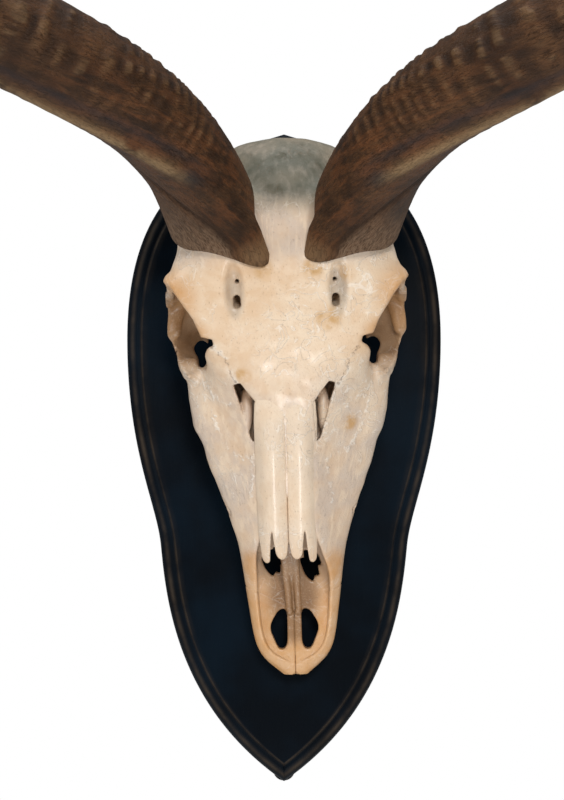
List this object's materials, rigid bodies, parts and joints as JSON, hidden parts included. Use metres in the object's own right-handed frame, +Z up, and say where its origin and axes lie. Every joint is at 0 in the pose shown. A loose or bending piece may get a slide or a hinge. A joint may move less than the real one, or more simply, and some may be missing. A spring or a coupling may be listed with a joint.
{
  "type": "kudu skull mount",
  "caption": "Greater kudu skull with long spiral keeled horns, hung nose down on an ebonised wooden shield plaque with a rounded edge, for hanging on a wall.",
  "frame": {"origin": "middle of the plaque's flat back face, on the wall plane and the plaque's upright axis", "axes": "+X to the viewer's right as the mount is faced, +Y into the wall, +Z up; the skull faces -Y"},
  "size_m": [0.9846, 0.6237, 1.1675],
  "materials": {
    "black_wood": "ebonised and satin varnished",
    "bone": "cleaned cream bone, thinly varnished",
    "muzzle_bone": "honey-stained bone, thinly varnished",
    "horn": "dark brown ridged horn"
  },
  "bodies": {
    "root": {"plaque": "black_wood", "cranium": "bone", "nasal_left": "bone", "nasal_right": "bone", "premaxilla_left": "muzzle_bone", "premaxilla_right": "muzzle_bone", "horn_left_base": "horn", "horn_left_lower": "horn", "horn_left_upper": "horn", "horn_left_tip": "horn", "horn_right_base": "horn", "horn_right_lower": "horn", "horn_right_upper": "horn", "horn_right_tip": "horn"}
  },
  "joints": []
}
